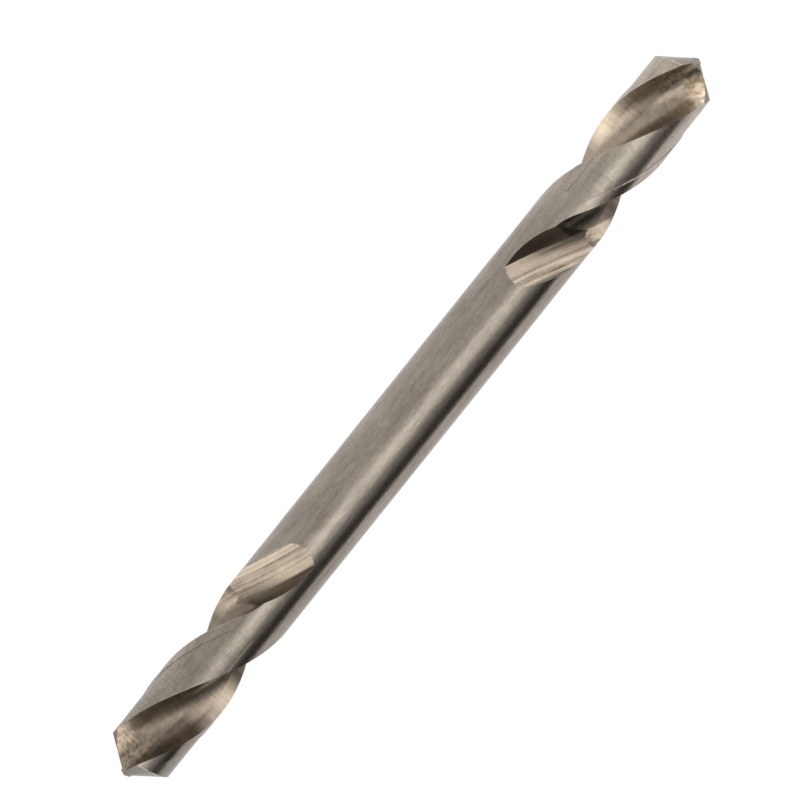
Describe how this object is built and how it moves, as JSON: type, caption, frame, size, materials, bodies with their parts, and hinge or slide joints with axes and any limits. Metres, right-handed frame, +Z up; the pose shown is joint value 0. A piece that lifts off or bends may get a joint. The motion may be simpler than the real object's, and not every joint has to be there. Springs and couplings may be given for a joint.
{
  "type": "double-ended drill bit",
  "caption": "Double-ended stub twist drill of ground high-speed steel: plain round shank in the middle, short right-hand helical flutes and a split point at each end.",
  "frame": {"origin": "centre of the drill: on its axis, half way between the two points", "axes": "+X along the axis towards one point, +Z up through the shank, +Y square to both; the axis is X"},
  "size_m": [0.062, 0.005, 0.005],
  "materials": {
    "hss_steel": "satin"
  },
  "bodies": {
    "root": {"drill_bit": "hss_steel"}
  },
  "joints": []
}
